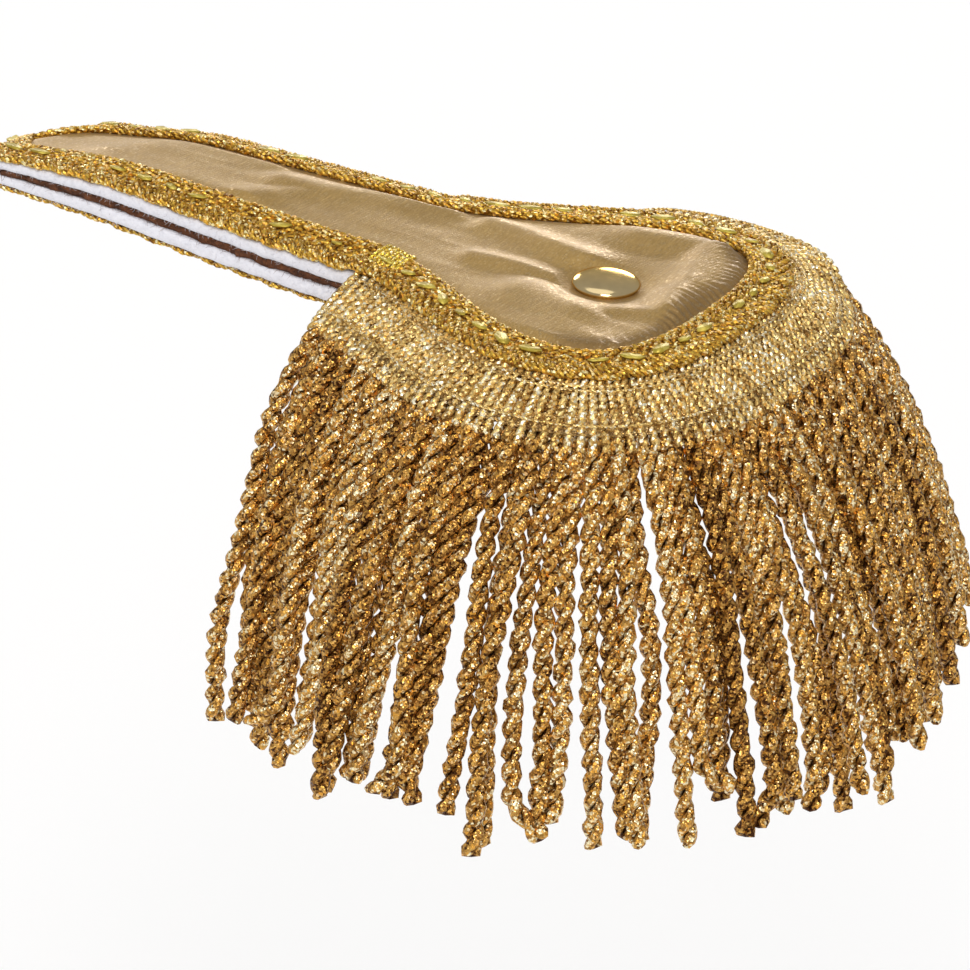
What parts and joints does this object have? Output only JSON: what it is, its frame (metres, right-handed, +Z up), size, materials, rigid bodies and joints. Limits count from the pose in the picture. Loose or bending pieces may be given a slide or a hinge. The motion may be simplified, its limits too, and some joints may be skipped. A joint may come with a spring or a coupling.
{
  "type": "fringed epaulette",
  "caption": "Shoulder epaulette: padded satin board with metal braid edging, domed stud and a band of twisted bullion fringe round its rounded end.",
  "frame": {"origin": "on the underside of the board, on its middle line, where the strap rests on the shoulder", "axes": "+X along the strap from its point at the collar to the fringed head, +Y across the strap, +Z up"},
  "size_m": [0.2479, 0.1819, 0.0947],
  "materials": {
    "satin": "gold satin with a soft metallic sheen",
    "gimp": "bright gold metallic thread",
    "felt": "white felt",
    "core": "dark brown felted fibre",
    "heading": "pale gold woven metallic thread",
    "bullion": "bronze gold twisted metallic cord",
    "stud": "polished pale gold"
  },
  "bodies": {
    "root": {"satin_panel": "satin", "gimp_braid": "gimp", "upper_felt": "felt", "brown_core": "core", "lower_felt": "felt", "under_braid": "gimp", "fringe_heading": "heading", "fringe_skirt": "bullion", "stud": "stud"}
  },
  "joints": []
}
